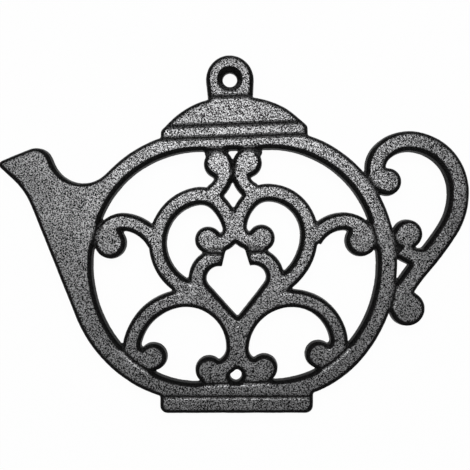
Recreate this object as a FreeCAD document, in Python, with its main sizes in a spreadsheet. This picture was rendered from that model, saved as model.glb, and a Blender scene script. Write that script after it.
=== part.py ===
"""Cast iron trivet in the outline of a teapot, lying face up on five rubber-capped pegs.

The casting is one piece: a body plate with an oval opening, a lid, a finial with a hanging
hole, a foot, a scroll handle, and scrollwork that fills the opening. Lengths are millimetres
and angles degrees. X runs from spout to handle, Y from foot to finial, Z up from the table.
"""

import FreeCAD, Part
import math
import os

import Sketcher

SIZES = {
    # Plate, and the drafted and rounded edge that every part of the casting has
    "plate_thickness": 6.5,
    "draft_angle": 4.0,
    "edge_radius": 1.8,
    "weld_overlap": 1.0,
    # Oval opening of the body: corners of its tangent lines, and the arcs that round them
    "opening_top": 36.0,
    "opening_bottom": -62.7,
    "opening_shoulder_x": 41.5,
    "opening_side_x": 71.2,
    "opening_side_y": -18.5,
    "opening_hip_x": 36.1,
    "shoulder_radius": 45.0,
    "side_radius": 53.0,
    "hip_radius": 42.0,
    "ring_width": 9.0,
    # Spout, measured outward from the left side of the opening
    "spout_root_inset": 26.0,
    "throat_reach": 8.5,
    "throat_y": 12.5,
    "throat_radius": 13.5,
    "lip_top_reach": 20.0,
    "lip_top_y": 39.5,
    "lip_top_radius": 7.0,
    "lip_end_reach": 41.5,
    "lip_end_y": 30.5,
    "lip_end_radius": 2.0,
    "under_spout_reach": 28.5,
    "under_spout_y": 18.5,
    "under_spout_radius": 31.5,
    "belly_inset": 6.0,
    "belly_radius": 58.0,
    # Lid, which leans a little to the left, and its finial
    "lid_x": 1.8,
    "body_lean": 2.0,
    "lid_half_width": 31.8,
    "lid_flange_height": 0.5,
    "lid_shoulder_x": 17.0,
    "lid_height": 14.0,
    "lid_dome_radius": 34.0,
    "lid_corner_radius": 2.5,
    "finial_x": -1.1,
    "finial_half_width": 11.3,
    "finial_neck_half_width": 9.2,
    "finial_height": 18.0,
    "hanging_hole_drop": 10.7,
    "hanging_hole_diameter": 6.2,
    "hanging_hole_flare": 2.2,
    # Foot under the body
    "foot_x": 1.3,
    "foot_half_width": 33.0,
    "foot_height": 4.9,
    "foot_corner_radius": 3.5,
    # Engraved lines across the lid and along the foot
    "groove_depth": 0.9,
    "lid_groove_height": 2.0,
    "ring_groove_drop": 3.3,
    "foot_groove_rise": 2.7,
    # Scroll bars and the round eyes that they curl into
    "scroll_x": 0.5,
    "scroll_width": 8.0,
    "branch_width": 8.0,
    "handle_width": 9.0,
    "inner_eye_diameter": 11.8,
    "side_eye_diameter": 14.0,
    "top_eye_diameter": 12.8,
    "outer_eye_diameter": 12.2,
    "bottom_eye_diameter": 12.2,
    "handle_eye_diameter": 12.2,
    "thumb_eye_diameter": 13.0,
    "tail_eye_diameter": 15.4,
    # Cast pegs and their rubber caps
    "stand_height": 12.0,
    "peg_diameter": 7.0,
    "cap_clearance": 0.05,
    "cap_wall": 1.5,
    "cap_floor": 2.0,
    "cap_height": 10.0,
    "cap_edge_radius": 0.6,
}

DOC = FreeCAD.newDocument("trivet")


def make_sheet():
    """Write every size into one spreadsheet, each cell under its own alias."""
    sheet = DOC.addObject("Spreadsheet::Sheet", "sizes")
    for row, (alias, value) in enumerate(SIZES.items(), start=1):
        sheet.set(f"A{row}", alias)
        sheet.set(f"B{row}", str(value))
        sheet.setAlias(f"B{row}", alias)
    DOC.recompute()
    return sheet


SHEET = make_sheet()


def size(alias):
    return float(SHEET.get(alias))


def point(x, y, z=0.0):
    return FreeCAD.Vector(x, y, z)


def polar(centre, distance, angle):
    """Point at a distance and an angle from a centre."""
    turn = math.radians(angle)
    return (centre[0] + distance * math.cos(turn), centre[1] + distance * math.sin(turn))


def corner_arcs(corners):
    """Tangent arcs (start, middle, end, centre, radius) that round a closed polygon's corners.

    Each corner is (x, y, radius). Where two arcs would meet on one side, both give way.
    """
    spots = [point(x, y) for x, y, radius in corners]
    count = len(spots)
    backs = [(spots[i - 1] - spots[i]).normalize() for i in range(count)]
    aheads = [(spots[(i + 1) % count] - spots[i]).normalize() for i in range(count)]
    bends = [(math.pi - backs[i].getAngle(aheads[i])) / 2 for i in range(count)]
    reaches = [corners[i][2] * math.tan(bends[i]) for i in range(count)]
    shares = []
    for i in range(count):
        side = spots[i].distanceToPoint(spots[(i + 1) % count])
        shares.append(side / max(reaches[i] + reaches[(i + 1) % count], side))
    reaches = [reaches[i] * min(shares[i - 1], shares[i]) for i in range(count)]
    arcs = []
    for i in range(count):
        radius = reaches[i] / math.tan(bends[i])
        inward = (backs[i] + aheads[i]).normalize()
        to_centre = radius / math.cos(bends[i])
        start = spots[i] + backs[i] * reaches[i]
        middle = spots[i] + inward * (to_centre - radius)
        end = spots[i] + aheads[i] * reaches[i]
        arcs.append((start, middle, end, spots[i] + inward * to_centre, radius))
    return arcs


def rounded(corners):
    """Curves of a closed polygon with rounded corners."""
    arcs = corner_arcs(corners)
    curves = []
    last = arcs[-1][2]
    for number, (start, middle, end, centre, radius) in enumerate(arcs):
        if last.distanceToPoint(start) > 0.02:
            curves.append(Part.LineSegment(last, start))
        elif number > 0:
            start = last
        if radius > 0.0:
            curves.append(Part.Arc(start, middle, end))
        last = end
    return curves


def spread(corners, distance):
    """Corners of a clockwise polygon moved outward, with radii grown to match."""
    count = len(corners)
    moved = []
    for i in range(count):
        spot = point(corners[i][0], corners[i][1])
        before = (spot - point(*corners[i - 1][:2])).normalize()
        after = (point(*corners[(i + 1) % count][:2]) - spot).normalize()
        outward = (before - after).normalize()
        stretch = distance / math.cos(before.getAngle(after) / 2)
        spot = spot + outward * stretch
        moved.append((spot.x, spot.y, corners[i][2] + distance))
    return moved


def swing(start, heading, stops):
    """Wire of tangent arcs from a start and heading through each stop in turn."""
    edges = []
    here = start
    for stop in stops:
        run = math.hypot(stop[0] - here[0], stop[1] - here[1])
        toward = math.degrees(math.atan2(stop[1] - here[1], stop[0] - here[0]))
        bend = (toward - heading + 180.0) % 360.0 - 180.0
        if abs(bend) < 0.1:
            bend = 0.1
        bulge = run / 2 * math.tan(math.radians(bend) / 2)
        halfway = ((here[0] + stop[0]) / 2, (here[1] + stop[1]) / 2)
        middle = polar(halfway, bulge, toward - 90.0)
        edges.append(Part.Arc(point(*here), point(*middle), point(*stop)).toShape())
        heading = toward + bend
        here = stop
    return Part.Wire(edges)


def edges_at(shape, level):
    """Names of the edges that lie wholly at one height."""
    return [
        f"Edge{number}"
        for number, edge in enumerate(shape.Edges, start=1)
        if all(abs(corner.Z - level) < 1e-4 for corner in edge.Vertexes)
    ]


def new_sketch(body, name, plane_role):
    """Sketch on one of a body's own origin planes."""
    sketch = body.newObject("Sketcher::SketchObject", name)
    plane = next(item for item in body.Origin.OriginFeatures if item.Role == plane_role)
    sketch.AttachmentSupport = [(plane, "")]
    sketch.MapMode = "FlatFace"
    return sketch


def cast_up(body, sketch, hole=None):
    """Pad a sketch to the plate's thickness, with draft, and round its upper edges.

    A hole widens towards the face, so that the casting leaves its mould that way.
    """
    pad = body.newObject("PartDesign::Pad", body.Name + "_pad")
    pad.Profile = sketch
    pad.setExpression("Length", "sizes.plate_thickness")
    pad.setExpression("TaperAngle", "-sizes.draft_angle")
    DOC.recompute()
    last = pad
    if hole:
        last = body.newObject("PartDesign::Pocket", body.Name + "_pocket")
        last.Profile = hole
        last.Reversed = True
        last.setExpression("Length", "sizes.plate_thickness + 1")
        last.setExpression("TaperAngle", "sizes.draft_angle")
        DOC.recompute()
        if last.Shape.Volume > 0.99 * pad.Shape.Volume:
            raise RuntimeError("hole cut nothing: " + body.Name)
    edge = body.newObject("PartDesign::Fillet", body.Name + "_edge")
    edge.Base = (last, edges_at(last.Shape, size("plate_thickness")))
    edge.setExpression("Radius", "sizes.edge_radius")
    DOC.recompute()
    return body


def make_plate(name, outline, hole=None):
    """Flat part of the casting from a closed outline, with a hole if it has one."""
    body = DOC.addObject("PartDesign::Body", name)
    sketch = new_sketch(body, name + "_outline", "XY_Plane")
    sketch.addGeometry(outline, False)
    if not hole:
        return cast_up(body, sketch)
    hole_sketch = new_sketch(body, name + "_hole", "XY_Plane")
    hole_sketch.addGeometry(hole, False)
    return cast_up(body, sketch, hole_sketch)


def make_eye(name, alias, centre):
    """Round end of a scroll."""
    body = DOC.addObject("PartDesign::Body", name)
    sketch = new_sketch(body, name + "_outline", "XY_Plane")
    sketch.addGeometry(Part.Circle(point(0, 0), point(0, 0, 1), size(alias) / 2), False)
    sketch.addConstraint(Sketcher.Constraint("Coincident", 0, 3, -1, 1))
    width = sketch.addConstraint(Sketcher.Constraint("Diameter", 0, size(alias)))
    sketch.setExpression(f"Constraints[{width}]", "sizes." + alias)
    cast_up(body, sketch)
    body.Placement.Base = point(*centre)
    return body


def bar_section(name, alias, path):
    """Section of a scroll bar, standing across the start of its path."""
    first = path.Edges[0]
    start = first.valueAt(first.FirstParameter)
    ahead = first.tangentAt(first.FirstParameter)
    half = size(alias) / 2
    top = size("plate_thickness")
    radius = size("edge_radius")
    draft = math.radians(size("draft_angle"))
    shoulder = half - top * math.tan(draft) - radius * math.tan((math.pi / 2 - draft) / 2)
    upper = (shoulder + radius * math.cos(draft), top - radius + radius * math.sin(draft))
    up = point(0, 0, 1)
    sketch = DOC.addObject("Sketcher::SketchObject", name + "_section")
    sketch.addGeometry(
        [
            Part.LineSegment(point(-half, 0), point(half, 0)),
            Part.LineSegment(point(half, 0), point(*upper)),
            Part.ArcOfCircle(
                Part.Circle(point(shoulder, top - radius), up, radius), draft, math.pi / 2
            ),
            Part.LineSegment(point(shoulder, top), point(-shoulder, top)),
            Part.ArcOfCircle(
                Part.Circle(point(-shoulder, top - radius), up, radius),
                math.pi / 2,
                math.pi - draft,
            ),
            Part.LineSegment(point(-upper[0], upper[1]), point(-half, 0)),
        ],
        False,
    )
    for before, after in ((1, 2), (2, 3), (3, 4), (4, 5)):
        sketch.addConstraint(Sketcher.Constraint("Tangent", before, 2, after, 1))
    sketch.addConstraint(Sketcher.Constraint("Coincident", 0, 2, 1, 1))
    sketch.addConstraint(Sketcher.Constraint("Coincident", 5, 2, 0, 1))
    sketch.addConstraint(Sketcher.Constraint("Symmetric", 0, 1, 0, 2, -2))
    sketch.addConstraint(Sketcher.Constraint("PointOnObject", 0, 1, -1))
    sketch.addConstraint(Sketcher.Constraint("Symmetric", 3, 1, 3, 2, -2))
    sketch.addConstraint(Sketcher.Constraint("Equal", 2, 4))
    driven = (
        (Sketcher.Constraint("DistanceX", 0, 1, 0, 2, 2 * half), "sizes." + alias),
        (Sketcher.Constraint("DistanceY", -1, 1, 3, 1, top), "sizes.plate_thickness"),
        (Sketcher.Constraint("Radius", 2, radius), "sizes.edge_radius"),
        (
            Sketcher.Constraint("Angle", 1, math.pi / 2 + draft),
            "90 deg + sizes.draft_angle * 1 deg",
        ),
    )
    for constraint, formula in driven:
        index = sketch.addConstraint(constraint)
        sketch.setExpression(f"Constraints[{index}]", formula)
    across = ahead.cross(up)
    turn = FreeCAD.Rotation(across, up, across.cross(up), "XYZ")
    sketch.Placement = FreeCAD.Placement(start, turn)
    return sketch


def make_bar(name, alias, start, heading, stops):
    """Scroll bar swept along tangent arcs."""
    path = DOC.addObject("Part::Feature", name + "_path")
    path.Shape = swing(start, heading, stops)
    bar = DOC.addObject("Part::Sweep", name)
    bar.Sections = [bar_section(name, alias, path.Shape)]
    bar.Spine = (path, [])
    bar.Solid = True
    DOC.recompute()
    return bar


def fuse(name, pieces):
    """Pieces joined one after another into one solid."""
    whole = pieces[0]
    for number, piece in enumerate(pieces[1:], start=1):
        joined = DOC.addObject("Part::Fuse", f"{name}_{number}")
        joined.Base = whole
        joined.Tool = piece
        joined.Refine = False
        whole = joined
    return whole


def joined_volume(base, tool):
    return base.Volume + tool.Volume - base.common(tool).Volume


def join(name, pieces):
    """Pieces joined as shapes, each step checked, for bars so close that Part::Fuse drops one."""
    DOC.recompute()
    whole = pieces[0].Shape
    for piece in pieces[1:]:
        expected = joined_volume(whole, piece.Shape)
        whole = whole.fuse(piece.Shape)
        if abs(whole.Volume - expected) > 1e-3 * expected:
            raise RuntimeError("joining lost material at " + piece.Name)
    joined = DOC.addObject("Part::Feature", name)
    joined.Shape = whole
    return joined


# Body: ring, spout and belly in one outline around the oval opening
top = size("opening_top")
bottom = size("opening_bottom")
ring = size("ring_width")
weld = size("weld_overlap")
opening_right = [
    (size("opening_shoulder_x"), top, size("shoulder_radius")),
    (size("opening_side_x"), size("opening_side_y"), size("side_radius")),
    (size("opening_hip_x"), bottom, size("hip_radius")),
]
opening = opening_right + [(-x, y, radius) for x, y, radius in reversed(opening_right)]
opening_arcs = corner_arcs(opening)
side_centre, side_radius = opening_arcs[1][3], opening_arcs[1][4]
hip_centre, hip_radius = opening_arcs[2][3], opening_arcs[2][4]
half_width = side_centre.x + side_radius
ring_outside = spread(opening, ring)
outer_top = top + ring
outer_bottom = bottom - ring
lean = FreeCAD.Rotation(point(0, 0, 1), size("body_lean"))


def leant(x, y, *radius):
    """Point of the upright drawing after the body's lean, with its corner radius if it has one."""
    turned = lean.multVec(point(x, y))
    return (turned.x, turned.y, *radius)


def spout_corner(name):
    return (-half_width - size(name + "_reach"), size(name + "_y"), size(name + "_radius"))


outline = [leant(*corner) for corner in ring_outside[:3]] + [
    leant(-half_width + size("belly_inset"), outer_bottom, size("belly_radius")),
    spout_corner("under_spout"),
    spout_corner("lip_end"),
    spout_corner("lip_top"),
    spout_corner("throat"),
    leant(-half_width + size("spout_root_inset"), outer_top, size("shoulder_radius") + ring),
]
leant_opening = [leant(*corner) for corner in opening]
body_plate = make_plate("body_plate", rounded(outline), rounded(leant_opening))

# Lid and finial, drawn upright and leant with the body
lid_place = FreeCAD.Placement(lean.multVec(point(size("lid_x"), outer_top)), lean)
lid_half = size("lid_half_width")
lid_height = size("lid_height")
lid_right = [
    (size("lid_shoulder_x"), lid_height, size("lid_dome_radius")),
    (lid_half, size("lid_flange_height"), size("lid_corner_radius")),
    (lid_half, -0.65 * ring, 0.0),
]
lid_left = [(-x, y, radius) for x, y, radius in reversed(lid_right)]
lid = make_plate("lid", rounded(lid_right + lid_left))
lid.Placement = lid_place
finial_half = size("finial_half_width")
finial_top = lid_height + size("finial_height")
finial_right = [
    (finial_half, finial_top, finial_half - 0.1),
    (size("finial_neck_half_width"), lid_height / 2, 0.0),
]
finial_left = [(-x, y, radius) for x, y, radius in reversed(finial_right)]
finial = make_plate("finial", rounded(finial_right + finial_left))
finial.Placement = lid_place * FreeCAD.Placement(point(size("finial_x"), 0), FreeCAD.Rotation())

# Foot along the bottom of the body
foot_half = size("foot_half_width")
foot_right = [
    (foot_half, bottom - 0.4 * ring, 0.0),
    (foot_half, outer_bottom - size("foot_height"), size("foot_corner_radius")),
]
foot_left = [(-x, y, radius) for x, y, radius in reversed(foot_right)]
foot = make_plate("foot", rounded(foot_right + foot_left))
foot.Placement.Base = point(size("foot_x"), 0)

# Each half of the scrollwork as drawn to the right of the middle line, for an opening of the
# drawn size. A bar has a start, a heading and the stops that it swings through. The halves
# differ a little, as carved patterns do.
DRAWN_HALF_WIDTH = 60.8
DRAWN_TOP = 36.0
DRAWN_BOTTOM = -63.0
RIGHT_HALF = {
    "inner_eye": (11.5, -2.0),
    "side_eye_angle": 10.5,
    "outer_eye_angle": -60.0,
    "top_eye_x": 6.5,
    "bottom_eye_x": 10.5,
    "upper": ((13.0, -26.5), 30.0),
    "upper_stops": ((22.0, -20.5), (32.0, -1.5), (31.0, 5.5), (16.0, 17.5), (6.5, 14.0), (1.5, 4.0)),
    "heart": ((5.0, -10.0), 15.0),
    "heart_stops": ((16.5, -17.0), (15.0, -23.5), (1.5, -39.5)),
    "lower_heading": 192.0,
    "lower_stops": ((0.5, -49.0), (24.5, -28.5), (43.0, -46.0)),
    "branch": ((33.5, -4.0), 62.0),
    "branch_stops": ((46.5, 4.0),),
    "hook_heading": 205.0,
    "hook_stops": ((3.5, 26.0), (9.0, 18.0)),
}
LEFT_HALF = dict(
    RIGHT_HALF,
    side_eye_angle=14.0,
    outer_eye_angle=-55.5,
    top_eye_x=6.0,
    bottom_eye_x=13.0,
    lower_stops=((1.5, -49.0), (25.5, -27.0), (45.5, -44.5)),
    upper=((14.5, -27.0), 30.0),
    upper_stops=((24.0, -21.0), (33.0, -0.5), (31.0, 6.0), (16.0, 17.0), (6.5, 13.5), (1.5, 4.0)),
    branch=((34.0, -2.5), 64.0),
    branch_stops=((47.0, 7.0),),
)


def inside(spot):
    """Point of the scrollwork, stretched from the drawn opening to the one in the sheet."""
    rise = (spot[1] - DRAWN_BOTTOM) / (DRAWN_TOP - DRAWN_BOTTOM)
    return (spot[0] * half_width / DRAWN_HALF_WIDTH, bottom + rise * (top - bottom))


def make_scrolls(side, half):
    """One half of the scrollwork; eyes at the edge are pressed into the ring by the overlap."""
    side_reach = side_radius - size("side_eye_diameter") / 2 + weld
    outer_reach = hip_radius - size("outer_eye_diameter") / 2 + weld
    inner_eye = inside(half["inner_eye"])
    side_eye = polar(side_centre, side_reach, half["side_eye_angle"])
    outer_eye = polar(hip_centre, outer_reach, half["outer_eye_angle"])
    top_eye = (inside((half["top_eye_x"], 0))[0], top - size("top_eye_diameter") / 2 + weld)
    bottom_eye = (
        inside((half["bottom_eye_x"], 0))[0],
        bottom + size("bottom_eye_diameter") / 2 - weld,
    )
    upper_start, upper_heading = half["upper"]
    heart_start, heart_heading = half["heart"]
    branch_start, branch_heading = half["branch"]
    branch_end = (side_eye[0] + 3.0, side_eye[1] + 1.5)
    stops = {
        name: [inside(spot) for spot in half[name + "_stops"]]
        for name in ("upper", "heart", "lower", "branch", "hook")
    }
    bars = (
        ("upper", "scroll_width", inside(upper_start), upper_heading, stops["upper"] + [inner_eye]),
        ("lower", "scroll_width", bottom_eye, half["lower_heading"], stops["lower"] + [outer_eye]),
        ("heart", "scroll_width", inside(heart_start), heart_heading, stops["heart"]),
        ("hook", "scroll_width", top_eye, half["hook_heading"], stops["hook"]),
        ("branch", "branch_width", inside(branch_start), branch_heading, stops["branch"] + [branch_end]),
    )
    eyes = {"inner": inner_eye, "side": side_eye, "outer": outer_eye, "top": top_eye, "bottom": bottom_eye}
    pieces = [make_bar(f"{side}_{name}", *rest) for name, *rest in bars]
    for name, spot in eyes.items():
        pieces.append(make_eye(f"{side}_{name}_eye", name + "_eye_diameter", spot))
    return pieces


def mirrored(piece):
    """The same piece to the left of the middle line."""
    twin = DOC.addObject("Part::Mirroring", piece.Name + "_mirrored")
    twin.Source = piece
    twin.Base = point(0, 0)
    twin.Normal = point(1, 0)
    return twin


scrolls_right = make_scrolls("right", RIGHT_HALF)
scrolls_left = [mirrored(piece) for piece in make_scrolls("left", LEFT_HALF)]
scrollwork = join("scrollwork", scrolls_right + scrolls_left)
scrollwork.Placement = FreeCAD.Placement(point(size("scroll_x"), 0), lean)

# Handle, drawn outward from the right side of the ring
ring_right = half_width + ring
outer_side = side_radius + ring


def outside(x, y):
    """Point of the handle, given how far it lies to the right of the ring."""
    return (ring_right + x, y)


handle_centre = leant(side_centre.x, side_centre.y)
thumb_eye = polar(handle_centre, outer_side + size("thumb_eye_diameter") / 2 - weld, 11.0)
tail_eye = polar(handle_centre, outer_side + size("tail_eye_diameter") / 2 - weld, -16.0)
handle_eye = polar(handle_centre, outer_side + size("handle_eye_diameter") / 2 - weld / 2, 31.5)
handle_root = polar(handle_centre, outer_side + 1.0, 32.0)
handle_stops = [
    outside(-9.0, 27.5),
    outside(-6.0, 35.5),
    outside(6.5, 40.0),
    outside(26.5, 20.0),
    outside(22.0, 2.0),
    outside(10.0, -14.0),
    outside(2.5, -24.5),
    (tail_eye[0] - 1.0, tail_eye[1]),
]
handle = [
    make_bar("handle_bar", "handle_width", handle_root, 100.0, handle_stops),
    make_bar("thumb_branch", "branch_width", outside(14.0, -9.0), 200.0, [outside(2.0, -6.5)]),
    make_eye("handle_eye", "handle_eye_diameter", handle_eye),
    make_eye("thumb_eye", "thumb_eye_diameter", thumb_eye),
    make_eye("tail_eye", "tail_eye_diameter", tail_eye),
]

# Pegs on the back, each under a broad part of the casting, and their caps
feet = {
    "spout": (-half_width - 12.0, 6.0),
    "lid": leant(size("lid_x"), outer_top + 4.5),
    "handle": (half_width + ring / 2, -2.0),
    "base_left": (size("foot_x") - 0.8 * foot_half, outer_bottom + 0.5),
    "base_right": (size("foot_x") + 0.8 * foot_half, outer_bottom + 0.5),
}


def make_cap(place, spot):
    """Rubber cap, turned about its own axis, that pushes over a peg."""
    body = DOC.addObject("PartDesign::Body", "foot_cap_" + place)
    sketch = new_sketch(body, "cap_profile_" + place, "XZ_Plane")
    bore_radius = size("peg_diameter") / 2 + size("cap_clearance")
    out = bore_radius + size("cap_wall")
    corners = [
        point(0, 0),
        point(out, 0),
        point(out, size("cap_height")),
        point(bore_radius, size("cap_height")),
        point(bore_radius, size("cap_floor")),
        point(0, size("cap_floor")),
    ]
    for number, corner in enumerate(corners):
        sketch.addGeometry(Part.LineSegment(corner, corners[(number + 1) % 6]), False)
    for number in range(6):
        sketch.addConstraint(Sketcher.Constraint("Coincident", number, 2, (number + 1) % 6, 1))
        way = "Horizontal" if number % 2 == 0 else "Vertical"
        sketch.addConstraint(Sketcher.Constraint(way, number))
    sketch.addConstraint(Sketcher.Constraint("Coincident", 0, 1, -1, 1))
    driven = (
        (
            Sketcher.Constraint("DistanceX", 0, 1, 0, 2, out),
            "sizes.peg_diameter / 2 + sizes.cap_clearance + sizes.cap_wall",
        ),
        (Sketcher.Constraint("DistanceY", 1, 1, 1, 2, size("cap_height")), "sizes.cap_height"),
        (
            Sketcher.Constraint("DistanceX", 5, 2, 3, 2, bore_radius),
            "sizes.peg_diameter / 2 + sizes.cap_clearance",
        ),
        (Sketcher.Constraint("DistanceY", 5, 2, 5, 1, size("cap_floor")), "sizes.cap_floor"),
    )
    for constraint, formula in driven:
        index = sketch.addConstraint(constraint)
        sketch.setExpression(f"Constraints[{index}]", formula)
    turned = body.newObject("PartDesign::Revolution", "cap_turned_" + place)
    turned.Profile = sketch
    turned.ReferenceAxis = (sketch, ["V_Axis"])
    turned.Angle = 360.0
    DOC.recompute()
    rim = [
        f"Edge{number}"
        for number, edge in enumerate(turned.Shape.Edges, start=1)
        if abs(edge.BoundBox.XMax - out) < 1e-3 and edge.BoundBox.ZLength < 1e-3
    ]
    soft = body.newObject("PartDesign::Fillet", "cap_edge_" + place)
    soft.Base = (turned, rim)
    soft.setExpression("Radius", "sizes.cap_edge_radius")
    body.Placement.Base = point(*spot)
    DOC.recompute()
    return body


caps = [make_cap(place, spot) for place, spot in feet.items()]
pegs = []
for place, spot in feet.items():
    peg = DOC.addObject("Part::Cylinder", "peg_" + place)
    peg.setExpression("Radius", "sizes.peg_diameter / 2")
    peg.setExpression("Height", "sizes.stand_height - sizes.cap_floor + sizes.plate_thickness / 2")
    peg.Placement.Base = point(*spot)
    peg.setExpression("Placement.Base.z", "sizes.cap_floor - sizes.stand_height")
    pegs.append(peg)

plates = fuse("plates", [body_plate, lid, finial, foot] + pegs)
solid = join("solid", [plates, scrollwork, join("handle", handle)])


def make_groove(name, length, middle, turn):
    """Square bar on edge, whose lower corner cuts an engraved line into the face."""
    groove = DOC.addObject("Part::Box", name)
    groove.Length = length
    groove.setExpression("Width", "sizes.groove_depth * sqrt(2)")
    groove.setExpression("Height", "sizes.groove_depth * sqrt(2)")
    start = middle - turn.multVec(point(length / 2, 0))
    start.z = size("plate_thickness") - size("groove_depth")
    groove.Placement = FreeCAD.Placement(start, turn * FreeCAD.Rotation(point(1, 0, 0), 45.0))
    return groove


lid_line = lid_place.multVec(point(0, size("lid_groove_height")))
ring_line = lid_place.multVec(point(0, -size("ring_groove_drop")))
finial_line = lid_place.multVec(point(size("finial_x"), lid_height))
foot_line = point(size("foot_x"), outer_bottom + size("foot_groove_rise"))
level = FreeCAD.Rotation()
cutters = [
    make_groove("lid_groove", 2 * lid_half, lid_line, lean),
    make_groove("ring_groove", 2 * lid_half, ring_line, lean),
    make_groove("finial_groove", 2 * finial_half, finial_line, lean),
    make_groove("foot_groove", 2 * foot_half, foot_line, level),
]

# Hanging hole, straight through with a flared front edge
hole_spot = lid_place.multVec(point(size("finial_x"), finial_top - size("hanging_hole_drop")))
bore = DOC.addObject("Part::Cylinder", "hanging_bore")
bore.setExpression("Radius", "sizes.hanging_hole_diameter / 2")
bore.setExpression("Height", "sizes.plate_thickness + 2")
bore.Placement.Base = hole_spot - point(0, 0, 1)
flare = DOC.addObject("Part::Cone", "hanging_flare")
flare.setExpression("Radius1", "sizes.hanging_hole_diameter / 2")
flare.setExpression("Radius2", "sizes.hanging_hole_diameter / 2 + sizes.hanging_hole_flare")
flare.setExpression("Height", "sizes.hanging_hole_flare")
flare.Placement.Base = hole_spot
flare.setExpression("Placement.Base.z", "sizes.plate_thickness - sizes.hanging_hole_flare")
cutters += [bore, flare]

casting = DOC.addObject("Part::Cut", "casting")
casting.Base = solid
casting.Tool = fuse("cutters", cutters)
casting.Refine = True
casting.Label = "trivet_casting"
casting.setExpression("Placement.Base.z", "sizes.stand_height")
DOC.recompute()


pieces = [casting] + caps

# Nothing is written unless every object rebuilt and every piece is one valid solid
failed = [item.Name for item in DOC.Objects if {"Invalid", "Error"} & set(item.State)]
if failed:
    raise RuntimeError("objects that did not rebuild: " + ", ".join(failed))
for item in DOC.Objects:
    if item.TypeId == "Part::Fuse":
        expected = joined_volume(item.Base.Shape, item.Tool.Shape)
        if abs(item.Shape.Volume - expected) > 1e-3 * expected:
            raise RuntimeError("joining lost material at " + item.Name)
for piece in pieces:
    shape = piece.Shape
    if shape.isNull() or not shape.isValid() or len(shape.Solids) != 1:
        raise RuntimeError("not one valid solid: " + piece.Label)
os.makedirs("parts", exist_ok=True)
for piece in pieces:
    piece.Shape.exportStep("parts/" + piece.Label + ".step")
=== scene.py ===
"""Cast iron teapot trivet on rubber foot caps, seen from straight above on a white floor.

Lengths are metres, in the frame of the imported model: the caps stand on z = 0 and the
decorated face looks up.
"""
import math

import bmesh
import bpy
import numpy as np
from mathutils import Matrix, Vector, geometry, kdtree, noise


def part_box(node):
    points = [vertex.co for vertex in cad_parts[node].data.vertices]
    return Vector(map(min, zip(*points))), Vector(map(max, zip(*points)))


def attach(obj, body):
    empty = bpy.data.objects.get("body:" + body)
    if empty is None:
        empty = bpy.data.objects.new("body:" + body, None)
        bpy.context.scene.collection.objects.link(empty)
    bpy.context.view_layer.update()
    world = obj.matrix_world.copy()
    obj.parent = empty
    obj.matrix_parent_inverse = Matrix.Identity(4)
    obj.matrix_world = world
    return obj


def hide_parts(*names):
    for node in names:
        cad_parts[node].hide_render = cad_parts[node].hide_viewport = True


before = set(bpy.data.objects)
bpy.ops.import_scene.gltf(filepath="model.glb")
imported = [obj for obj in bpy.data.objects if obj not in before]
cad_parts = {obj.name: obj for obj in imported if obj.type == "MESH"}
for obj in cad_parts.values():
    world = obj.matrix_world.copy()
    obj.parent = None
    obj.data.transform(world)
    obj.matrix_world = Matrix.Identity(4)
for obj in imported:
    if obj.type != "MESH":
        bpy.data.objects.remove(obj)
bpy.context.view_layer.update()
MM = 0.001

# Nodes of the caps, and levels of the plate, whose face is the top of the casting
CAP_NODES = [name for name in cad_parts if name.startswith("foot_cap_")]
FACE_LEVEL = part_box("trivet_casting")[1][2]
PLATE_THICKNESS = 6.5 * MM
BACK_LEVEL = FACE_LEVEL - PLATE_THICKNESS

# Sand-cast surface: grid of the mesh, softened edges, then lumps and grain as heights
VOXEL = 0.42 * MM
SMOOTH_ROUNDS = 4
SMOOTH_FACTOR = 0.5
LUMP_SPACING = 9.0 * MM
LUMP_HEIGHT = 0.10 * MM
GRAIN_SPACING = 1.3 * MM
GRAIN_HEIGHT = 0.045 * MM
# The pegs are drawn in by this much, to stay clear of their caps
PEG_CLEARANCE = 0.15 * MM

# Oval opening of the body ring, as in the part's source: (x, y, radius) in millimetres of the
# right half's corners, before the body leans
OPENING_CORNERS = ((41.5, 36.0, 45.0), (71.2, -18.5, 53.0), (36.1, -62.7, 42.0))
BODY_LEAN = math.radians(2.0)
RING_WIDTH = 9.0 * MM
# Points to search along each arc and each straight side of the opening
ARC_POINTS = 200
SIDE_POINTS = 60
# Valleys where scrolls and handle meet the ring, and lines in millimetres where two scrolls touch
SEAM_DEPTH = 0.9 * MM
SEAM_HALF_WIDTH = 0.9 * MM
SEAM_INSET = 0.5 * MM
HANDLE_START = 45.0 * MM
SCROLL_SEAMS = (
    ((-14.3, -7.5), (-4.5, -8.3)),
    ((6.5, -7.5), (13.8, -7.0)),
    ((-0.1, 31.3), (-0.1, 24.9)),
)

# Small webs that fill corners: (x, y, drop below the face) in millimetres, under the thumb's eye,
# beside the foot's eyes and beside the top eyes. The deeper drops put a web under the grooves' black,
# partly painted shade
CORNER_WEBS = (
    (70.6, -5.9, 1.2),
    (-6.9, -61.9, 0.2),
    (9.3, -61.3, 0.2),
    (-10.6, 34.9, 1.2),
    (10.4, 35.3, 1.2),
)
CORNER_WEB_RADIUS = 1.9 * MM
CORNER_WEB_SIDES = 24
# Web with the round hole over the foot. The hole's rim flares out through points given in
# millimetres: (outwards from the hole's radius, down from the web's top)
HOLE_WEB = (1.0 * MM, -60.2 * MM)
HOLE_WEB_RADIUS = 7.5 * MM
HOLE_WEB_DROP = 0.2 * MM
HOLE_RADIUS = 2.7 * MM
HOLE_DRAFT = 0.3 * MM
HOLE_FLARE = ((0.0, 1.5), (0.4, 0.5), (1.5, 0.0))
HOLE_STEPS = 48

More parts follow.
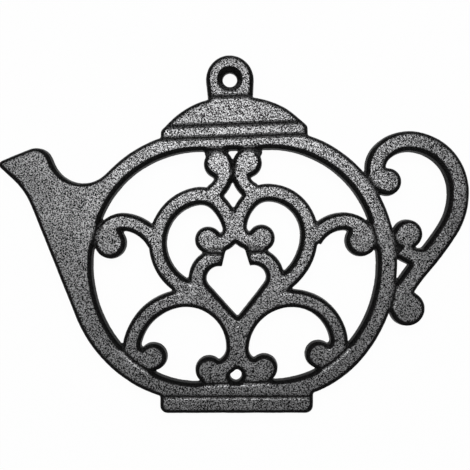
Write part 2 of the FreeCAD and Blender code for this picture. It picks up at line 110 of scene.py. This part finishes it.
# Share of black at each point, which the material reads, partly black paint and partly painted shade: in
# grooves, and in a band that spreads from walls deeper than the grooves over the edges of the face
PAINT_AND_SHADE_LAYER = "black_paint_and_shade"
GROOVE_BLACK_DEPTHS = (0.33 * MM, 0.52 * MM)
DEEPEST_GROOVE = 1.0 * MM
SHADE_BAND_ROUNDS = 40
SHADE_BAND_DEPTHS = (0.008 * MM, 0.024 * MM)
# Painted light: edges and walls that face away from the middle and towards the finial, the side the light
# comes from, get a thinner and lighter band of black
LIT_SIDE_THINNING = 0.75
LIT_SIDE_LIGHTENING = 0.85
# The back has lost part of its paint
BACK_WEAR = 0.6
BACK_DEPTHS = (5.8 * MM, 6.4 * MM)

# Iron's pattern: fine speckle, turned so that the noise's own grid isn't level with the face, with
# some blotches and wide stains
SPECKLE_SPACING = 0.55 * MM
SPECKLE_TURN = (0.4, 0.3, 0.6)
BLOTCH_SPACING = 1.8 * MM
BLOTCH_SHARE = 0.1
STAIN_SPACING = 16.0 * MM
STAIN_SHARE = 0.6
# Rubber's pattern: moulding grain and dust
RUBBER_GRAIN_SPACING = 0.35 * MM
DUST_SPACING = 3.0 * MM

# Photograph: a square picture from straight above, this wide at the back of the plate
PICTURE_WIDTH = 203.4 * MM
CAMERA_HEIGHT = 400.0 * MM
CAMERA_SPOT = (0.6 * MM, -0.2 * MM)
CAMERA_CLIP = 10.0 * MM
# White floor, and the share of it that is plain white to the camera; the rest takes the shadow
FLOOR_HALF_WIDTH = 1.5
PAPER_GREY = 0.9
FLOOR_GLOW = 0.97
# Soft boxes: name, place, width, depth and watts
SOFT_BOXES = (
    ("soft_top", (0.0, 0.08, 0.48), 0.30, 0.16, 1.75),
    ("soft_front", (-0.5, -0.5, 0.9), 0.6, 0.6, 0.8),
)
ROOM_GREY = 0.06


def add_object(name, data):
    made = bpy.data.objects.new(name, data)
    bpy.context.scene.collection.objects.link(made)
    return made


def grey(shade):
    return (shade, shade, shade, 1.0)


class Nodes:
    """Short way to build the node tree of a material or of the world."""

    def __init__(self, owner):
        owner.use_nodes = True
        self.tree = owner.node_tree
        self.tree.nodes.clear()

    def add(self, kind, settings=None, **inputs):
        """Node with its settings, and its named inputs set to a value or linked to a socket."""
        node = self.tree.nodes.new(kind)
        for name, value in (settings or {}).items():
            setattr(node, name, value)
        for name, value in inputs.items():
            self.put(node.inputs[name.replace("_", " ")], value)
        return node

    def put(self, socket, value):
        if isinstance(value, bpy.types.NodeSocket):
            self.tree.links.new(value, socket)
        else:
            socket.default_value = value

    def noise(self, where, spacing, detail, roughness):
        """Noise whose blobs are about one spacing apart."""
        scale = 1.0 / spacing
        made = self.add("ShaderNodeTexNoise", Vector=where, Scale=scale, Detail=detail, Roughness=roughness)
        return made.outputs["Fac"]

    def ramp(self, value, *stops):
        """Colour ramp through (position, grey or colour) stops."""
        made = self.add("ShaderNodeValToRGB", Fac=value)
        elements = made.color_ramp.elements
        while len(elements) < len(stops):
            elements.new(0.5)
        for element, (position, shade) in zip(elements, stops):
            element.position = position
            element.color = (*shade, 1.0) if isinstance(shade, tuple) else grey(shade)
        return made.outputs["Color"]

    def mix(self, kind, share, first, second):
        """Mix of two colours. Its sockets share their names, so they are told apart by number."""
        made = self.add("ShaderNodeMix", {"data_type": "RGBA", "blend_type": kind})
        self.put(made.inputs[0], share)
        self.put(made.inputs[6], first)
        self.put(made.inputs[7], second)
        return made.outputs[2]

    def blend(self, share, first, second):
        """Mix of two shaders."""
        made = self.add("ShaderNodeMixShader", Fac=share)
        self.put(made.inputs[1], first.outputs[0])
        self.put(made.inputs[2], second.outputs[0])
        return made.outputs[0]

    def background_rays(self):
        """1 for the rays that show the background: straight to the camera, mirrored or let through."""
        path = self.add("ShaderNodeLightPath").outputs
        seen = path["Is Camera Ray"]
        for kind in ("Is Glossy Ray", "Is Transmission Ray"):
            either = self.add("ShaderNodeMath", {"operation": "MAXIMUM"})
            self.put(either.inputs[0], seen)
            self.put(either.inputs[1], path[kind])
            seen = either.outputs[0]
        return seen

    def finish(self, shader, kind="ShaderNodeOutputMaterial"):
        self.add(kind, Surface=shader)


def iron_material():
    """Dark cast iron: a worn, speckled grey face, with black on edges and in recesses that is partly black
    paint and partly painted shade.
    """
    material = bpy.data.materials.new("cast_iron")
    nodes = Nodes(material)
    where = nodes.add("ShaderNodeTexCoord").outputs["Object"]
    black_share = nodes.add("ShaderNodeAttribute", {"attribute_name": PAINT_AND_SHADE_LAYER}).outputs["Fac"]
    turned = nodes.add("ShaderNodeMapping", Vector=where, Rotation=SPECKLE_TURN).outputs["Vector"]
    fine = nodes.noise(turned, SPECKLE_SPACING, detail=2.0, roughness=0.6)
    coarse = nodes.noise(where, BLOTCH_SPACING, detail=3.0, roughness=0.6)
    stains = nodes.noise(where, STAIN_SPACING, detail=3.0, roughness=0.5)
    grains = nodes.ramp(fine, (0.41, 0.0), (0.59, 1.0))
    blotches = nodes.ramp(coarse, (0.36, 0.0), (0.64, 1.0))
    speckle = nodes.mix("MIX", BLOTCH_SHARE, grains, blotches)
    worn = nodes.ramp(
        speckle,
        (0.22, 0.003),
        (0.48, (0.065, 0.065, 0.066)),
        (0.72, (0.148, 0.148, 0.150)),
        (1.0, (0.200, 0.200, 0.203)),
    )
    stained = nodes.mix("MULTIPLY", STAIN_SHARE, worn, nodes.ramp(stains, (0.3, 0.65), (0.7, 1.0)))
    # Black of the paint, also standing in for shade on edges, walls and in grooves
    black_paint_and_shade = nodes.ramp(speckle, (0.3, 0.004), (0.9, 0.012))
    grain = nodes.add("ShaderNodeBump", Strength=0.2, Distance=0.10 * MM, Height=speckle)
    shader = nodes.add(
        "ShaderNodeBsdfPrincipled",
        Base_Color=nodes.mix("MIX", black_share, stained, black_paint_and_shade),
        Metallic=nodes.ramp(black_share, (0.0, 0.6), (1.0, 0.0)),
        Roughness=nodes.ramp(speckle, (0.2, 0.36), (0.8, 0.30)),
        Specular_IOR_Level=0.01,
        Normal=grain.outputs["Normal"],
    )
    nodes.finish(shader.outputs["BSDF"])
    return material


def rubber_material():
    """Matte black rubber with moulding grain and dust."""
    material = bpy.data.materials.new("black_rubber")
    nodes = Nodes(material)
    where = nodes.add("ShaderNodeTexCoord").outputs["Object"]
    fine = nodes.noise(where, RUBBER_GRAIN_SPACING, detail=2.0, roughness=0.5)
    dust = nodes.noise(where, DUST_SPACING, detail=3.0, roughness=0.6)
    grain = nodes.add("ShaderNodeBump", Strength=0.25, Distance=0.05 * MM, Height=fine)
    shader = nodes.add(
        "ShaderNodeBsdfPrincipled",
        Base_Color=nodes.ramp(dust, (0.35, 0.014), (0.75, (0.045, 0.044, 0.042))),
        Roughness=nodes.ramp(fine, (0.3, 0.62), (0.7, 0.82)),
        Normal=grain.outputs["Normal"],
    )
    nodes.finish(shader.outputs["BSDF"])
    return material


def apply_modifiers(piece):
    """Bake a piece's modifiers into its own mesh."""
    graph = bpy.context.evaluated_depsgraph_get()
    baked = bpy.data.meshes.new_from_object(piece.evaluated_get(graph))
    piece.modifiers.clear()
    piece.data = baked


def rounded_outline(corners):
    """Points close together along a closed outline, whose corners are (place, radius).

    As in the part's source, two arcs that would meet on one side both give way.
    """
    count = len(corners)
    places = [place for place, radius in corners]
    following = [(i + 1) % count for i in range(count)]
    backs = [(places[i - 1] - places[i]).normalized() for i in range(count)]
    aheads = [-backs[following[i]] for i in range(count)]
    bends = [(math.pi - backs[i].angle(aheads[i])) / 2.0 for i in range(count)]
    reaches = [corners[i][1] * math.tan(bends[i]) for i in range(count)]
    shares = []
    for i in range(count):
        side = (places[following[i]] - places[i]).length
        shares.append(side / max(reaches[i] + reaches[following[i]], side))
    reaches = [reaches[i] * min(shares[i - 1], shares[i]) for i in range(count)]
    points = []
    for i in range(count):
        radius = reaches[i] / math.tan(bends[i])
        inward = (backs[i] + aheads[i]).normalized()
        centre = places[i] + inward * (radius / math.cos(bends[i]))
        for angle in np.linspace(bends[i], -bends[i], ARC_POINTS):
            points.append(centre - Matrix.Rotation(angle, 2) @ inward * radius)
        arc_end = points[-1]
        next_arc = places[following[i]] + backs[following[i]] * reaches[following[i]]
        points.extend(arc_end.lerp(next_arc, share) for share in np.linspace(0.0, 1.0, SIDE_POINTS))
    return points


def opening_edge():
    """Search tree for the nearest point on the edge of the oval opening."""
    mirrored = [(-x, y, radius) for x, y, radius in reversed(OPENING_CORNERS)]
    lean = Matrix.Rotation(BODY_LEAN, 2)
    corners = []
    for x, y, radius in (*OPENING_CORNERS, *mirrored):
        corners.append((lean @ Vector((x, y)) * MM, radius * MM))
    points = rounded_outline(corners)
    tree = kdtree.KDTree(len(points))
    for number, spot in enumerate(points):
        tree.insert((spot.x, spot.y, 0.0), number)
    tree.balance()
    return tree


def cut_seams(mesh):
    """Press valleys into the face along the ring's edges, and where two scrolls touch."""
    edge = opening_edge()
    lines = [[Vector((x, y, 0.0)) * MM for x, y in line] for line in SCROLL_SEAMS]
    for vertex in mesh.vertices:
        depth = FACE_LEVEL - vertex.co.z
        if depth > SEAM_DEPTH:
            continue
        spot = Vector((vertex.co.x, vertex.co.y, 0.0))
        near, _, distance = edge.find(spot)
        if spot.length < near.length:
            distance = -distance
        away = abs(distance - SEAM_INSET)
        if spot.x > HANDLE_START:
            away = min(away, abs(distance - RING_WIDTH + SEAM_INSET))
        for start, end in lines:
            share = geometry.intersect_point_line(spot, start, end)[1]
            away = min(away, (spot - start.lerp(end, min(max(share, 0.0), 1.0))).length)
        valley = SEAM_DEPTH * (1.0 - away / SEAM_HALF_WIDTH)
        vertex.co.z = FACE_LEVEL - max(depth, valley)


def turn_profile(shape, spot, profile):
    """Add a closed (radius, level) profile to a mesh, turned about an upright axis."""
    start = Vector((*spot, 0.0))
    rings = []
    for step in range(HOLE_STEPS):
        angle = 2.0 * math.pi * step / HOLE_STEPS
        across = Vector((math.cos(angle), math.sin(angle), 0.0))
        corners = [start + across * radius + Vector((0.0, 0.0, level)) for radius, level in profile]
        rings.append([shape.verts.new(corner) for corner in corners])
    for ring, after in zip(rings, rings[1:] + rings[:1]):
        for i in range(len(profile)):
            shape.faces.new((ring[i - 1], ring[i], after[i], after[i - 1]))


def add_webs(mesh):
    """Join the small webs to the casting's mesh, to be merged with it by the grid."""
    shape = bmesh.new()
    shape.from_mesh(mesh)
    top = FACE_LEVEL - HOLE_WEB_DROP
    rim = [(HOLE_RADIUS + out * MM, top - down * MM) for out, down in HOLE_FLARE]
    inside = (HOLE_RADIUS - HOLE_DRAFT, BACK_LEVEL)
    outside = [(HOLE_WEB_RADIUS, top), (HOLE_WEB_RADIUS, BACK_LEVEL)]
    turn_profile(shape, HOLE_WEB, [inside, *rim, *outside])
    for x, y, drop in CORNER_WEBS:
        height = PLATE_THICKNESS - drop * MM
        made = bmesh.ops.create_cone(
            shape,
            cap_ends=True,
            segments=CORNER_WEB_SIDES,
            radius1=CORNER_WEB_RADIUS,
            radius2=CORNER_WEB_RADIUS,
            depth=height,
        )
        middle = (x * MM, y * MM, BACK_LEVEL + height / 2.0)
        bmesh.ops.translate(shape, verts=made["verts"], vec=middle)
    bmesh.ops.recalc_face_normals(shape, faces=shape.faces)
    shape.to_mesh(mesh)
    shape.free()


def share_between(values, limits):
    """How far values lie from the lower to the upper limit, from 0 to 1."""
    return np.clip((values - limits[0]) / (limits[1] - limits[0]), 0.0, 1.0)


def paint_and_shade_edges(mesh):
    """Store the share of black, partly black paint and partly painted shade: deep in grooves, and in a
    wider band along edges and walls.
    """
    count = len(mesh.vertices)
    spots = np.empty(3 * count)
    mesh.vertices.foreach_get("co", spots)
    normals = np.empty(3 * count)
    mesh.vertex_normals.foreach_get("vector", normals)
    ends = np.empty(2 * len(mesh.edges), dtype=np.int32)
    mesh.edges.foreach_get("vertices", ends)
    x, y, z = spots.reshape(count, 3).T
    facing_x, facing_y, _ = normals.reshape(count, 3).T
    depth = FACE_LEVEL - z
    # From 1 where a wall faces away from the middle and towards the finial, the lit side, to -1 on the
    # shaded side
    from_middle = np.maximum(np.hypot(x, y), VOXEL)
    outward = (facing_x * x + facing_y * y) / from_middle
    lit_side = (outward + facing_y) / 2.0
    first, second = ends[0::2], ends[1::2]
    links = np.bincount(ends, minlength=count)
    # Painted shade: the band starts wider on walls that face the shaded side, thinner on the lit side
    shade_band = np.maximum(depth - DEEPEST_GROOVE, 0.0) * (1.0 - LIT_SIDE_THINNING * lit_side)
    # Each round, a point takes the mean of its own value and its neighbours' average
    for _ in range(SHADE_BAND_ROUNDS):
        near = np.bincount(first, shade_band[second], count) + np.bincount(second, shade_band[first], count)
        shade_band = (shade_band + near / links) / 2.0
    groove_black = share_between(depth, GROOVE_BLACK_DEPTHS)
    black_paint_and_shade = np.maximum(groove_black, share_between(shade_band, SHADE_BAND_DEPTHS))
    # Painted light: walls and groove sides facing the lit side keep less of the black
    black_paint_and_shade *= 1.0 - LIT_SIDE_LIGHTENING * np.maximum(lit_side, 0.0) * groove_black
    black_paint_and_shade *= 1.0 - BACK_WEAR * share_between(depth, BACK_DEPTHS)
    mesh.attributes.new(PAINT_AND_SHADE_LAYER, "FLOAT", "POINT").data.foreach_set("value", black_paint_and_shade)


def sand_cast(spot):
    """Height of the sand-cast surface over the smooth one."""
    lump = noise.noise(spot / LUMP_SPACING)
    grain = noise.noise(spot / GRAIN_SPACING)
    return LUMP_HEIGHT * lump + GRAIN_HEIGHT * grain


def roughen(mesh):
    """Give the plate its sand-cast surface, and draw the pegs in from their caps."""
    normals = [Vector(item.vector) for item in mesh.vertex_normals]
    for vertex, normal in zip(mesh.vertices, normals):
        if vertex.co.z > BACK_LEVEL - VOXEL:
            vertex.co += normal * sand_cast(vertex.co)
        else:
            vertex.co -= Vector((normal.x, normal.y, 0.0)) * PEG_CLEARANCE
    mesh.shade_smooth()


def make_casting(material):
    """Casting with softened edges and a sand-cast skin, in place of the smooth solid."""
    piece = add_object("casting_skin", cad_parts["trivet_casting"].data.copy())
    add_webs(piece.data)
    remesh = piece.modifiers.new("grid", "REMESH")
    remesh.mode = "VOXEL"
    remesh.voxel_size = VOXEL
    apply_modifiers(piece)
    cut_seams(piece.data)
    paint_and_shade_edges(piece.data)
    soften = piece.modifiers.new("soften", "SMOOTH")
    soften.factor = SMOOTH_FACTOR
    soften.iterations = SMOOTH_ROUNDS
    apply_modifiers(piece)
    roughen(piece.data)
    piece.data.materials.clear()
    piece.data.materials.append(material)
    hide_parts("trivet_casting")
    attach(piece, "casting")


def dress_caps(material):
    """Give the caps their material; their CAD shape stays."""
    for name in CAP_NODES:
        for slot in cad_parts[name].material_slots:
            slot.link = "OBJECT"
            slot.material = material


def make_floor():
    """White floor that the camera sees as paper white, with a faint shadow of the trivet."""
    half = FLOOR_HALF_WIDTH
    mesh = bpy.data.meshes.new("floor")
    corners = [(-half, -half, 0), (half, -half, 0), (half, half, 0), (-half, half, 0)]
    mesh.from_pydata(corners, [], [(0, 1, 2, 3)])
    floor = add_object("floor", mesh)
    material = bpy.data.materials.new("floor_white")
    nodes = Nodes(material)
    share = nodes.add("ShaderNodeMath", {"operation": "MULTIPLY"})
    nodes.put(share.inputs[0], nodes.background_rays())
    nodes.put(share.inputs[1], FLOOR_GLOW)
    paper = nodes.add("ShaderNodeBsdfDiffuse", Color=grey(PAPER_GREY))
    glow = nodes.add("ShaderNodeEmission", Color=grey(1.0), Strength=1.0)
    nodes.finish(nodes.blend(share.outputs[0], paper, glow))
    mesh.materials.append(material)


def make_light(name, spot, width, depth, power):
    """Soft box that faces the middle of the trivet."""
    data = bpy.data.lights.new(name, "AREA")
    data.shape = "RECTANGLE"
    data.size = width
    data.size_y = depth
    data.energy = power
    light = add_object(name, data)
    light.location = spot
    aim = Vector((0.0, 0.0, FACE_LEVEL)) - Vector(spot)
    light.rotation_euler = aim.to_track_quat("-Z", "Y").to_euler()


def make_world():
    """Dim grey room, shown white to the camera and in reflections."""
    world = bpy.data.worlds.new("room")
    bpy.context.scene.world = world
    nodes = Nodes(world)
    room = nodes.add("ShaderNodeBackground", Color=grey(ROOM_GREY), Strength=1.0)
    white = nodes.add("ShaderNodeBackground", Color=grey(1.0), Strength=1.0)
    nodes.finish(nodes.blend(nodes.background_rays(), room, white), "ShaderNodeOutputWorld")


def make_camera():
    """Straight down on the plate, its top edge towards +Y."""
    data = bpy.data.cameras.new("camera")
    data.angle = 2.0 * math.atan(PICTURE_WIDTH / 2.0 / CAMERA_HEIGHT)
    data.clip_start = CAMERA_CLIP
    camera = add_object("camera", data)
    camera.location = (*CAMERA_SPOT, BACK_LEVEL + CAMERA_HEIGHT)
    bpy.context.scene.camera = camera


make_casting(iron_material())
dress_caps(rubber_material())
make_floor()
for soft_box in SOFT_BOXES:
    make_light(*soft_box)
make_world()
make_camera()
bpy.context.scene.view_settings.view_transform = "Standard"
